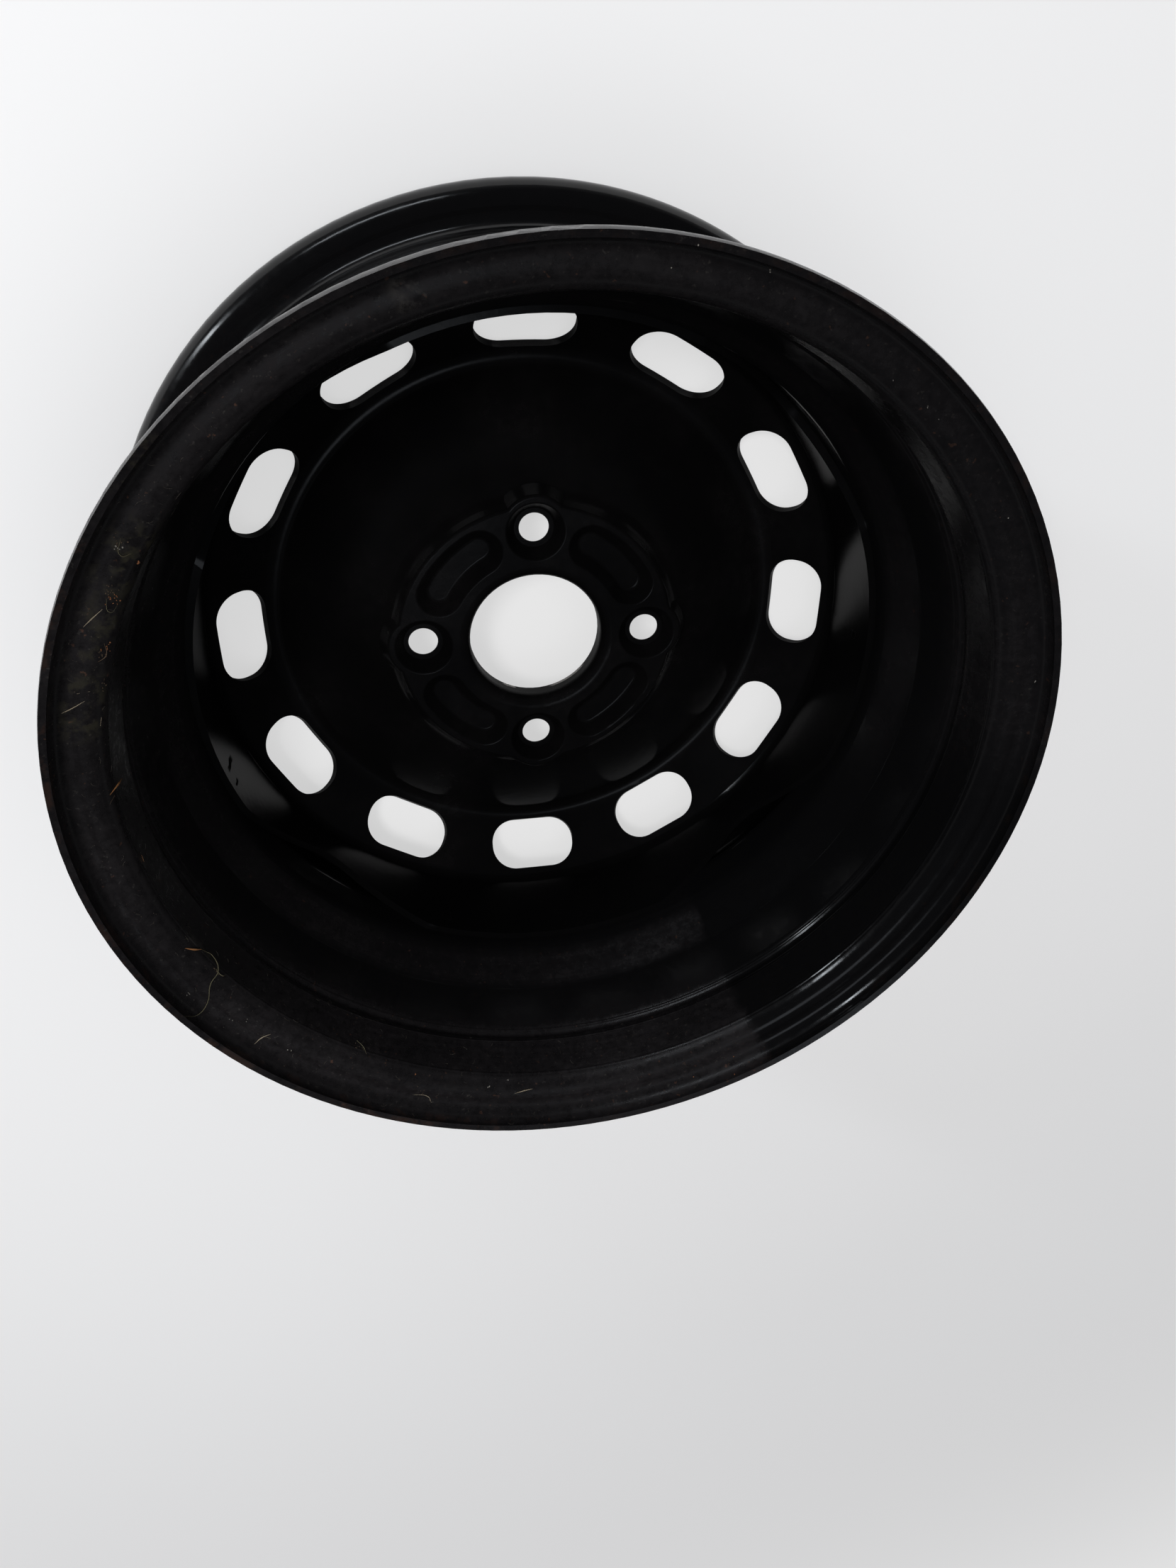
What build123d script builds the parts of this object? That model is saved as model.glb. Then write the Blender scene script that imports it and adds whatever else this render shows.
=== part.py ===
from build123d import *
from math import atan2, cos, degrees, radians, sin, tan
import os

# A pressed steel road wheel: a rolled barrel with a pressed disc seated in its well
# and held there by four welds. The axis is +Z and the inboard side faces +Z.
# The origin is where the axis crosses the hub mounting face.

# Rolled barrel
bead_seat_dia = 354.8
rim_width = 139.7          # between the two flange faces
wheel_offset = 47.5        # hub mounting face to the middle of the rim
rim_sheet = 2.6
flange_height = 17.3       # bead seat to the crest of a flange
curl_r = 9.5
curl_turn = 111.0          # degrees that the lip curls round, from the flange's face
heel_r = 6.5
seat_taper = 5.0           # degrees
inner_seat_length = 24.2   # flange face to the foot of the hump
outer_seat_length = 20.0
hump_rise = 1.75
hump_foot_drop = 2.7       # crest of the hump to its foot on the well's side
hump_half_width = 5.0
hump_r = 5.0
well_depth = 17.5
well_inner_end = 38.9      # where the inboard ramp reaches the well floor
well_outer_end = 18.9
ramp_break_z = 61.35       # the inboard ramp steepens here
ramp_break_rise = 9.0      # well floor to the ramp at that break
ramp_r = 10.0
well_inner_r = 12.0
well_outer_r = 8.0

# Valve hole through the outboard wall of the well
valve_hole_dia = 11.5
valve_angle = 270.0

# Pressed disc
disc_sheet = 3.5
disc_fit = 0.05            # between the disc's skirt and the well
bore_dia = 63.4
collar_depth = 11.5
collar_lead_r = 5.5
pad_r = 66.2
pad_wall_run = 3.6
pad_height = 7.2
pad_edge_r = 1.8
pad_foot_r = 12.0
crown_r = 124.1            # where the cone and the slotted slope would meet
crown_depth = 38.1
crown_bend_r = 9.0
slope_angle = 40.0
skirt_bend_r = 6.0
skirt_edge_z = 33.6

# Skirt cut back between its four seats
scallop_half_width = 56.5
scallop_floor_z = 8.9
scallop_floor_half = 7.0
scallop_corner_r = 14.0
scallop_floor_r = 27.0

# Vent slots
slot_count = 12
slot_length = 45.5
slot_width = 27.7
slot_corner_r = 13.0
slot_pitch_r = 138.3

# Lug holes
lug_count = 4
pitch_circle_dia = 108.0
first_lug_angle = 90.0
lug_hole_dia = 14.1
lug_land = 1.2
lug_seat_angle = 60.0
lug_dish_depth = 6.45
lug_dish_r = 13.6
lug_floor_r = 9.3
lug_lobe_r = 15.6
lug_lobe_out = 1.4         # lobe's centre beyond the pitch circle
lug_boss_r = 16.0
lug_boss_tip_r = 12.6
lug_boss_depth = 11.4

# Kidney shaped recesses between the lug holes
kidney_depth = 6.1
kidney_floor_width = 10.6
kidney_pitch_r = 52.2
kidney_half_angle = 15.2
kidney_wall_run = 5.3
kidney_floor_fillet = 2.0
mouth_r = 1.2              # round edge where a recess meets the mounting face

# Welds between skirt and well
weld_arc = 24.0            # degrees
weld_reach = 6.0           # up the wall of the well, from its foot
weld_root_rise = 1.4       # above the foot of that wall
weld_crown = 0.6           # bulge of the weld's face
weld_fit = 0.25            # between a weld and the sheets that it joins

cutter_reach = 10.0        # what a cutter needs on each side of its plane

seat_r = bead_seat_dia / 2
crest_r = seat_r + flange_height
inner_face_z = wheel_offset + rim_width / 2
outer_face_z = wheel_offset - rim_width / 2
well_r = seat_r - well_depth
skirt_r = well_r - rim_sheet - disc_fit
skirt_inner_r = skirt_r - disc_sheet
between_lugs = first_lug_angle + 180 / lug_count


def seat_points(face_z, seat_length, way):
    """Flange root, heel, bead seat and hump, from the flange towards the well."""
    foot_z = face_z + way * seat_length
    foot_r = seat_r - seat_length * tan(radians(seat_taper))
    crest_z = foot_z + way * hump_half_width
    hump_top = foot_r + hump_rise
    return [
        (crest_r - curl_r, face_z),
        (seat_r, face_z),
        (foot_r, foot_z),
        (hump_top, crest_z),
        (hump_top - hump_foot_drop, crest_z + way * hump_half_width),
    ]


def turned(*outline):
    """Solid of revolution on the Z axis whose two ends are flat."""
    with BuildPart() as body:
        with BuildSketch(Plane.XZ):
            with BuildLine():
                Polyline((0, outline[0][1]), *outline, (0, outline[-1][1]), close=True)
            make_face()
        revolve(axis=Axis.Z)
    return body.part


def kidney(half_width, top, floor_fillet):
    """Kidney round the wheel's axis whose wall leans in from its top to its floor."""
    lean = degrees(atan2(kidney_wall_run, kidney_depth))
    with BuildPart() as body:
        with BuildSketch(Plane.XY.offset(top)):
            with BuildLine(mode=Mode.PRIVATE) as middle:
                CenterArc((0, 0), kidney_pitch_r, -kidney_half_angle, 2 * kidney_half_angle)
            SlotArc(middle.wire(), 2 * half_width)
        extrude(amount=-kidney_depth, taper=lean)
        fillet(body.faces().sort_by(Axis.Z)[0].edges(), floor_fillet)
    return body.part


def hub_face():
    """The mounting face, which is the largest flat face of the disc."""
    return disc.faces().filter_by(Plane.XY).sort_by(SortBy.AREA)[-1]


# The barrel's tyre side from flange to flange, with a radius for each corner
inner_points = seat_points(inner_face_z, inner_seat_length, -1)
outer_points = seat_points(outer_face_z, outer_seat_length, 1)
well_points = [
    (well_r + ramp_break_rise, ramp_break_z),
    (well_r, well_inner_end),
    (well_r, well_outer_end),
]
seat_radii = [heel_r, hump_r, hump_r, hump_r]
barrel_radii = seat_radii + [ramp_r, well_inner_r, well_outer_r] + seat_radii[::-1]

# The valve hole stands square to the outboard wall of the well, halfway up it
wall_foot = Vector(well_r, well_outer_end)
wall_top = Vector(*outer_points[-1])
wall_line = (wall_top - wall_foot).normalized()
wall_middle = (wall_foot + wall_top) / 2
valve_out = Vector(cos(radians(valve_angle)), sin(radians(valve_angle)))
valve_plane = Plane(
    origin=valve_out * wall_middle.X + Vector(0, 0, wall_middle.Y),
    z_dir=valve_out * -wall_line.Y + Vector(0, 0, wall_line.X),
)

with BuildPart() as rim:
    with BuildSketch(Plane.XZ):
        with BuildLine():
            barrel = FilletPolyline(*inner_points, *well_points, *outer_points[::-1], radius=barrel_radii)
            JernArc(start=barrel @ 0, tangent=(1, 0), radius=curl_r, arc_size=curl_turn)
            JernArc(start=barrel @ 1, tangent=(1, 0), radius=curl_r, arc_size=-curl_turn)
            offset(amount=rim_sheet, side=Side.RIGHT)
        make_face()
    revolve(axis=Axis.Z)
    with BuildSketch(valve_plane):
        Circle(valve_hole_dia / 2)
    extrude(amount=cutter_reach, both=True, mode=Mode.SUBTRACT)
rim.part.label = "rim"

# The slope outside the crown, where the vent slots are
slope_rise = tan(radians(slope_angle))
slope_top_z = -crown_depth + (skirt_inner_r - crown_r) * slope_rise
slot_z = -crown_depth + (slot_pitch_r - crown_r) * slope_rise

# Lug hole forms, standing on the hub mounting face at the middle of the wheel
seat_depth = lug_boss_depth - lug_dish_depth - lug_land
lug_seat_r = lug_hole_dia / 2 + seat_depth * tan(radians(lug_seat_angle / 2))
lug_lobe = turned((lug_lobe_r, 0), (lug_lobe_r + pad_wall_run, -pad_height))
lug_boss = turned((lug_boss_r, -disc_sheet / 2), (lug_boss_tip_r, -lug_boss_depth))
lug_dish = turned((lug_dish_r, 0), (lug_floor_r, -lug_dish_depth))
lug_bore = turned(
    (lug_hole_dia / 2, 0),
    (lug_hole_dia / 2, -lug_dish_depth - lug_land),
    (lug_seat_r, -lug_boss_depth),
)

# A recess in the pad and, a sheet's thickness behind it, the bulge that it leaves
kidney_half = kidney_floor_width / 2 + kidney_wall_run
bulge_spread = disc_sheet * tan(atan2(kidney_depth, kidney_wall_run) / 2)
kidney_recess = kidney(kidney_half, 0, kidney_floor_fillet)
kidney_bulge = kidney(kidney_half + bulge_spread, -disc_sheet, kidney_floor_fillet + disc_sheet / 2)

# Cutters for one vent slot and one scallop, both on the +X side
slot_plane = Plane(
    origin=(slot_pitch_r, 0, slot_z),
    x_dir=(0, 1, 0),
    z_dir=(-sin(radians(slope_angle)), 0, cos(radians(slope_angle))),
)
with BuildPart() as vent_slot:
    with BuildSketch(slot_plane):
        RectangleRounded(slot_length, slot_width, slot_corner_r)
    extrude(amount=cutter_reach, both=True)

scallop_end = scallop_half_width + 2 * scallop_corner_r
with BuildPart() as scallop:
    with BuildSketch(Plane.YZ):
        with BuildLine():
            edge = FilletPolyline(
                (-scallop_end, skirt_edge_z),
                (-scallop_half_width, skirt_edge_z),
                (-scallop_floor_half, scallop_floor_z),
                (scallop_floor_half, scallop_floor_z),
                (scallop_half_width, skirt_edge_z),
                (scallop_end, skirt_edge_z),
                radius=[scallop_corner_r, scallop_floor_r, scallop_floor_r, scallop_corner_r],
            )
            Polyline(
                edge @ 1,
                (scallop_end, skirt_edge_z + cutter_reach),
                (-scallop_end, skirt_edge_z + cutter_reach),
                edge @ 0,
            )
        make_face()
    extrude(amount=crest_r)

with BuildPart() as disc:
    with BuildSketch(Plane.XZ):
        with BuildLine():
            FilletPolyline(
                (bore_dia / 2, -collar_depth),
                (bore_dia / 2, 0),
                (pad_r, 0),
                (pad_r + pad_wall_run, -pad_height),
                (crown_r, -crown_depth),
                (skirt_inner_r, slope_top_z),
                (skirt_inner_r, skirt_edge_z),
                radius=[collar_lead_r, 0, pad_foot_r, crown_bend_r, skirt_bend_r],
            )
            offset(amount=disc_sheet, side=Side.RIGHT)
        make_face()
    revolve(axis=Axis.Z)
    with PolarLocations(pitch_circle_dia / 2 + lug_lobe_out, lug_count, first_lug_angle):
        add(lug_lobe)
    with PolarLocations(pitch_circle_dia / 2, lug_count, first_lug_angle):
        add(lug_boss)
    fillet(hub_face().outer_wire().edges(), pad_edge_r)
    with PolarLocations(0, lug_count, between_lugs):
        add(kidney_bulge)
        add(kidney_recess, mode=Mode.SUBTRACT)
        add(scallop.part, mode=Mode.SUBTRACT)
    with PolarLocations(pitch_circle_dia / 2, lug_count, first_lug_angle):
        add(lug_dish, mode=Mode.SUBTRACT)
        add(lug_bore, mode=Mode.SUBTRACT)
    # The bore's own edge is the nearest to the axis and is already round
    mouths = hub_face().inner_wires().sort_by_distance((0, 0, 0))[1:]
    fillet([edge for wire in mouths for edge in wire.edges()], mouth_r)
    with PolarLocations(0, slot_count, first_lug_angle):
        add(vent_slot.part, mode=Mode.SUBTRACT)
disc.part.label = "disc"

# Each weld fills the groove where the wall of the well turns away from the skirt
into_sheet = Vector(wall_line.Y, -wall_line.X) * (rim_sheet / 2)
weld_toe = wall_foot + wall_line * weld_reach + into_sheet
weld_root_z = well_outer_end + weld_root_rise
weld_inner_r = skirt_r + weld_fit
weld_heel_z = (weld_toe.Y + well_outer_end) / 2
with BuildPart() as weld_seam:
    with BuildSketch(Plane.XZ.rotated((0, 0, -weld_arc / 2))):
        with BuildLine():
            Polyline(
                (weld_toe.X, weld_toe.Y),
                (well_r, well_outer_end),
                (well_r, weld_root_z),
                (weld_inner_r, weld_root_z),
                (weld_inner_r, weld_heel_z),
            )
            SagittaArc((weld_toe.X, weld_toe.Y), (weld_inner_r, weld_heel_z), weld_crown)
        make_face()
        with BuildLine():
            FilletPolyline((well_r, well_inner_end), wall_foot, wall_top, radius=well_outer_r)
            offset(amount=rim_sheet + weld_fit, side=Side.RIGHT)
        make_face(mode=Mode.SUBTRACT)
    revolve(axis=Axis.Z, revolution_arc=weld_arc)

os.makedirs("parts", exist_ok=True)
export_step(rim.part, "parts/rim.step")
export_step(disc.part, "parts/disc.step")
for i in range(lug_count):
    with BuildPart() as weld:
        add(weld_seam.part, rotation=(0, 0, first_lug_angle + i * 360 / lug_count))
    weld.part.label = f"weld_seam_{i + 1}"
    export_step(weld.part, f"parts/weld_seam_{i + 1}.step")
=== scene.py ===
import math
import random

import bpy
from mathutils import Matrix, Vector
from mathutils.bvhtree import BVHTree


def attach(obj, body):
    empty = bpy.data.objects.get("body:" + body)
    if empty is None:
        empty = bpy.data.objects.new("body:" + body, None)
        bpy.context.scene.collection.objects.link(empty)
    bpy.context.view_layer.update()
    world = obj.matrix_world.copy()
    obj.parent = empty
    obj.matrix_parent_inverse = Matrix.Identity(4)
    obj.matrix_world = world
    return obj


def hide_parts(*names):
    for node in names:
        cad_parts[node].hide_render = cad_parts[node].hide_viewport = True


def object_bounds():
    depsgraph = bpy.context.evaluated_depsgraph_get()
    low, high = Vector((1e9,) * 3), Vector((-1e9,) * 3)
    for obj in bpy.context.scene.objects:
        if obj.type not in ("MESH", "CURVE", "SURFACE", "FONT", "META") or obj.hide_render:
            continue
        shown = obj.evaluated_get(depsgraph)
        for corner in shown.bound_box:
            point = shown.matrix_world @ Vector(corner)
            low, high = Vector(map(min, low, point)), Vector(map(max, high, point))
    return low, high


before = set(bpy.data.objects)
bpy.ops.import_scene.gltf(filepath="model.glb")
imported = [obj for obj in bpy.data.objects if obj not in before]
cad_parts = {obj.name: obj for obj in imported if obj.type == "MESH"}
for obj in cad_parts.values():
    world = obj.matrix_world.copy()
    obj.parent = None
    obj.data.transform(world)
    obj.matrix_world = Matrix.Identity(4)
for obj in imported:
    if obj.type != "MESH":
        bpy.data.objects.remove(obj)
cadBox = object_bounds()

# A black pressed steel wheel rim that lies on a pale floor, inboard side up.
# Everything is in metres, the wheel's axis is Z and angles run from +X towards +Y.

mm = 0.001
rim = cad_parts["rim"]
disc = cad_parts["disc"]
scene = bpy.context.scene
scene.view_settings.view_transform = "Standard"


# Short ways to write shader and geometry nodes
def node(tree, kind, **settings):
    made = tree.nodes.new(kind)
    for name, value in settings.items():
        setattr(made, name, value)
    return made


def plug(tree, socket, value):
    if isinstance(value, bpy.types.NodeSocket):
        tree.links.new(value, socket)
    elif value is not None:
        socket.default_value = value


def calc(tree, operation, a, b=None, c=None):
    made = node(tree, "ShaderNodeMath", operation=operation)
    for socket, value in zip(made.inputs, (a, b, c)):
        plug(tree, socket, value)
    return made.outputs[0]


def plus(tree, a, b):
    return calc(tree, "ADD", a, b)


def minus(tree, a, b):
    return calc(tree, "SUBTRACT", a, b)


def times(tree, first, *others):
    for other in others:
        first = calc(tree, "MULTIPLY", first, other)
    return first


def largest(tree, first, *others):
    for other in others:
        first = calc(tree, "MAXIMUM", first, other)
    return first


def spread(tree, value, low, high, toLow=0.0, toHigh=1.0, smooth=True):
    kind = "SMOOTHSTEP" if smooth else "LINEAR"
    made = node(tree, "ShaderNodeMapRange", interpolation_type=kind, clamp=True)
    for socket, part in zip(made.inputs, (value, low, high, toLow, toHigh)):
        plug(tree, socket, part)
    return made.outputs[0]


def noise(tree, place, scale, detail, rough=0.55):
    made = node(tree, "ShaderNodeTexNoise")
    plug(tree, made.inputs["Vector"], place)
    for name, value in (("Scale", scale), ("Detail", detail), ("Roughness", rough)):
        made.inputs[name].default_value = value
    return made.outputs[0]


def blend(tree, amount, a, b):
    made = node(tree, "ShaderNodeMix", data_type="RGBA")
    plug(tree, made.inputs[0], amount)
    plug(tree, made.inputs[6], a)
    plug(tree, made.inputs[7], b)
    return made.outputs[2]


def combine(tree, x, y, z):
    made = node(tree, "ShaderNodeCombineXYZ")
    for socket, value in zip(made.inputs, (x, y, z)):
        plug(tree, socket, value)
    return made.outputs[0]


def bump(tree, height, depth, below=None):
    made = node(tree, "ShaderNodeBump")
    made.inputs["Strength"].default_value = 1.0
    made.inputs["Distance"].default_value = depth
    plug(tree, made.inputs["Height"], height)
    if below is not None:
        plug(tree, made.inputs["Normal"], below)
    return made.outputs[0]


def newMaterial(name):
    # The places that its patterns read come along: object space, height, turn and radius
    material = bpy.data.materials.new(name)
    material.use_nodes = True
    tree = material.node_tree
    shader = tree.nodes["Principled BSDF"]
    place = node(tree, "ShaderNodeTexCoord").outputs["Object"]
    parts = node(tree, "ShaderNodeSeparateXYZ")
    plug(tree, parts.inputs[0], place)
    x, y, z = parts.outputs
    degrees = calc(tree, "DEGREES", calc(tree, "ARCTAN2", y, x))
    turn = calc(tree, "WRAP", degrees, 360.0, 0.0)
    radius = calc(tree, "SQRT", plus(tree, times(tree, x, x), times(tree, y, y)))
    return material, tree, shader, dict(place=place, z=z, turn=turn, radius=radius)


def specks(tree, at, kinds):
    # One noise for each name, of scale, detail and roughness
    return {name: noise(tree, at["place"], *numbers) for name, numbers in kinds.items()}


def aside(tree, value, middle, half, soft):
    # 1 within half of the middle, fading to 0
    away = calc(tree, "ABSOLUTE", minus(tree, value, middle))
    return spread(tree, away, half, half + soft, 1.0, 0.0)


def sector(tree, turn, start, end, soft):
    # 1 between two angles, fading to 0 at both
    away = calc(tree, "WRAP", minus(tree, turn, (start + end) / 2), 180.0, -180.0)
    half = (end - start) / 2
    return spread(tree, calc(tree, "ABSOLUTE", away), half - soft, half + soft, 1.0, 0.0)


def marks(tree, at, places):
    # Soft spots at angle, height, half the angle and half the height
    spots = []
    for angle, height, halfTurn, halfHeight in places:
        across = sector(tree, at["turn"], angle - halfTurn, angle + halfTurn, halfTurn * 0.5)
        along = aside(tree, at["z"], height * mm, halfHeight * mm * 0.5, halfHeight * mm)
        spots.append(times(tree, across, along))
    return largest(tree, *spots)


# Paint on the barrel: glossy where it was wiped, dusty all round the rest
barrelLook = {
    "paint": (0.0022, 0.0022, 0.0024, 1),
    "dust": (0.0112, 0.0098, 0.0106, 1),
    "pale": (0.060, 0.056, 0.050, 1),
    "green": (0.024, 0.022, 0.013, 1),
    "rust": (0.090, 0.040, 0.022, 1),
    "shine": 0.30,
    "glossRough": 0.12,
    "dustRough": 0.50,
    "roughDust": 0.9,          # how much dust makes it as rough as it gets
    # where the barrel was wiped, in degrees, and how softly that starts and ends
    "wipedFrom": 298.5,
    "wipedToLow": 348.0,       # at the ramp
    "wipedToHigh": 359.0,      # at the lip
    "startSoft": (-0.8, 1.0),
    "endSoft": (-9.0, 12.0),
    "waver": 5.0,              # how far both edges waver
    "wipedClean": 0.92,        # share of the dust that went
    "rampZ": 63 * mm,
    "lipZ": 117 * mm,
    # start, end and soft edge in degrees
    "thinDust": (-20.0, 112.0, 14.0),
    "lowDust": (128.0, 212.0, 30.0),
    "rubbed": (150.0, 262.0, 20.0),
    # how much dust the first two, the bead seat and the band below it hold
    "thinFilm": 0.62,
    "lowFilm": 0.36,
    "seatFilm": (74 * mm, 94 * mm, 0.10, 1.0),  # from height to height, then from dust to dust
    "band": (52 * mm, 5 * mm, 7 * mm),          # middle, half height and soft edge
    "bandFilm": 0.40,
    # scale, detail and roughness of each noise
    "noise": {
        "broad": (14.0, 3.0, 0.55),
        "fine": (160.0, 6.0, 0.65),
        "mottle": (330.0, 5.0, 0.75),
        "grain": (900.0, 3.0, 0.6),
        "waver": (60.0, 3.0, 0.55),
        "lint": (620.0, 2.0, 0.5),
        "rust": (380.0, 2.0, 0.5),
        "rubbed": (90.0, 5.0, 0.7),
        "orange": (260.0, 2.0, 0.5),
    },
    "rings": (240.0, 1.0, 4.0, 0.7),            # stretch of the height, then the same three
    # from and to in the noise, then what they stand for
    "broadFilm": (0.30, 0.70, 0.60, 1.05),
    "fineFilm": (0.25, 0.75, 0.62, 1.0),
    "mottleFilm": (0.34, 0.66, 0.55, 1.30),
    "ringFilm": (0.3, 0.7, 0.62, 1.0),
    "mossSpread": (0.46, 0.62, 0.0, 0.50),
    "smearSpread": (0.44, 0.60, 0.0, 0.16),
    "lintSpread": (0.66, 0.72),
    "lintShare": 0.30,
    "rustSpread": (0.70, 0.75),
    "rustShare": 0.45,
    "rubbedSpread": (0.50, 0.64, 0.0, 0.12),
    "elsewhere": 0.25,         # share of the rubbing outside its sector
    "roughSpread": (0.3, 0.7, -0.02, 0.04),
    "edgeR": (191.2 * mm, 192.6 * mm),
    "edgeZ": (119 * mm, 122 * mm),
    "creases": (112.8, 93.0, 85.9),             # heights in mm
    "creaseWide": (0.1 * mm, 0.8 * mm),         # half width and soft edge
    "creaseHigh": 0.18 * mm,
    "orangeHigh": 0.02 * mm,
    "grainHigh": 0.06 * mm,
    # angle, height, half width in degrees, half height
    "smears": [
        (107.5, 120.1, 1.4, 1.2), (108.9, 54.0, 1.2, 1.0),
        (83.0, 53.3, 3.5, 0.8), (205.0, 112.0, 2.5, 2.0),
    ],
    "mossy": [
        (148.0, 117.0, 4.5, 3.5), (157.0, 117.5, 4.0, 3.0),
        (137.2, 127.0, 3.0, 4.0), (166.0, 118.0, 4.0, 3.0),
    ],
}


def wipedSector(tree, at, speck):
    look = barrelLook
    waver = times(tree, minus(tree, speck["waver"], 0.5), look["waver"])
    turn = plus(tree, at["turn"], waver)
    wipedTo = spread(tree, at["z"], look["rampZ"], look["lipZ"],
                     look["wipedToLow"], look["wipedToHigh"], smooth=False)
    early, late = look["startSoft"]
    start = spread(tree, turn, look["wipedFrom"] + early, look["wipedFrom"] + late)
    end = spread(tree, minus(tree, wipedTo, turn), *look["endSoft"])
    return times(tree, start, end)


def barrelDust(tree, at, speck):
    # Dust lies in flat rings along the barrel, least on the ramp and at the foot of the well
    look = barrelLook
    ringScale, *ringNoise = look["rings"]
    rings = noise(tree, combine(tree, times(tree, at["z"], ringScale), 0.0, 0.0), *ringNoise)
    thin = sector(tree, at["turn"], *look["thinDust"])
    onSeat = spread(tree, at["z"], *look["seatFilm"])
    onBand = times(tree, aside(tree, at["z"], *look["band"]), look["bandFilm"])
    onLeft = times(tree, sector(tree, at["turn"], *look["lowDust"]), look["lowFilm"])
    film = times(
        tree,
        spread(tree, speck["broad"], *look["broadFilm"]),
        spread(tree, speck["fine"], *look["fineFilm"]),
        spread(tree, rings, *look["ringFilm"]),
        spread(tree, thin, 0.0, 1.0, 1.0, look["thinFilm"]),
        largest(tree, onLeft, plus(tree, onSeat, onBand)),
        spread(tree, speck["mottle"], *look["mottleFilm"], smooth=False),
    )
    wiped = wipedSector(tree, at, speck)
    return times(tree, film, minus(tree, 1.0, times(tree, wiped, look["wipedClean"])))


def barrelPaint():
    look = barrelLook
    material, tree, shader, at = newMaterial("barrelPaint")
    speck = specks(tree, at, look["noise"])
    dusty = barrelDust(tree, at, speck)
    colour = blend(tree, dusty, look["paint"], look["dust"])
    mossy = times(tree, marks(tree, at, look["mossy"]),
                  spread(tree, speck["fine"], *look["mossSpread"]))
    colour = blend(tree, mossy, colour, look["green"])
    smeared = times(tree, marks(tree, at, look["smears"]),
                    spread(tree, speck["fine"], *look["smearSpread"]))
    colour = blend(tree, smeared, colour, look["pale"])
    # Fine pale lint and a few rusty grains, only where the dust is
    lint = spread(tree, speck["lint"], *look["lintSpread"])
    lint = times(tree, lint, times(tree, dusty, look["lintShare"]))
    colour = blend(tree, lint, colour, look["pale"])
    grains = spread(tree, speck["rust"], *look["rustSpread"])
    grains = times(tree, grains, times(tree, dusty, look["rustShare"]))
    colour = blend(tree, grains, colour, look["rust"])
    # The lip's edge is rubbed through to brown steel here and there, mostly low on the left
    onLeft = sector(tree, at["turn"], *look["rubbed"])
    rubbed = times(
        tree,
        spread(tree, at["radius"], *look["edgeR"]),
        spread(tree, at["z"], *look["edgeZ"]),
        spread(tree, onLeft, 0.0, 1.0, look["elsewhere"], 1.0),
        spread(tree, speck["rubbed"], *look["rubbedSpread"]),
    )
    plug(tree, shader.inputs["Base Color"], blend(tree, rubbed, colour, look["rust"]))
    shader.inputs["Specular IOR Level"].default_value = look["shine"]
    rough = spread(tree, dusty, 0.0, look["roughDust"],
                   look["glossRough"], look["dustRough"], smooth=False)
    rough = plus(tree, rough, spread(tree, speck["fine"], *look["roughSpread"]))
    plug(tree, shader.inputs["Roughness"], rough)
    # Rolled creases stand out as thin rings, over an orange peel and the dust's grain
    rings = [aside(tree, at["z"], height * mm, *look["creaseWide"]) for height in look["creases"]]
    creases = bump(tree, largest(tree, *rings), look["creaseHigh"])
    orange = bump(tree, speck["orange"], look["orangeHigh"], creases)
    grain = bump(tree, times(tree, speck["grain"], dusty), look["grainHigh"], orange)
    plug(tree, shader.inputs["Normal"], grain)
    return material


# Paint on the disc: satin black with worn steel at the end of the collar
discLook = {
    "paint": (0.0014, 0.0014, 0.0015, 1),
    "dust": (0.0042, 0.0038, 0.0040, 1),
    "steel": (0.62, 0.60, 0.58, 1),
    "shine": 0.30,
    "rough": 0.19,
    "dustRough": 0.32,
    "roughDust": 0.8,          # how much dust makes it as rough as it gets
    "steelRough": 0.28,
    "collarR": 33.2 * mm,
    "collarZ": -9.6 * mm,
    "skirtR": (149.0 * mm, 152.5 * mm),
    "skirtFilm": 0.35,
    # start, end and soft edge in degrees
    "bare": (287.0, 318.0, 5.0),
    "scuffed": (224.0, 280.0, 8.0),
    # scale, detail and roughness of each noise
    "noise": {
        "broad": (18.0, 3.0, 0.55),
        "fine": (220.0, 6.0, 0.65),
        "waver": (220.0, 2.0, 0.55),
        "patch": (75.0, 4.0, 0.6),
        "orange": (300.0, 2.0, 0.5),
    },
    # from and to in the noise, then what they stand for
    "broadFilm": (0.35, 0.75, 0.1, 0.8),
    "fineFilm": (0.3, 0.7, 0.5, 1.0),
    "bareSpread": (0.30, 0.40),
    "scuffedSpread": (0.52, 0.60),
    "orangeHigh": 0.02 * mm,
    "grainHigh": 0.03 * mm,
    # angle, height, half width in degrees, half height
    "runs": [
        (196.1, 21.0, 0.5, 6.0), (0.2, 18.2, 0.7, 2.0),
        (250.0, 19.0, 0.8, 8.0), (199.0, 26.0, 0.3, 3.0),
    ],
    "runWaver": 1.2,           # degrees
    # how much of the dust and of the shine a run takes away, and how rough it leaves the paint
    "runDark": 0.9,
    "runDull": 0.85,
    "runRough": 0.7,
}


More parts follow.
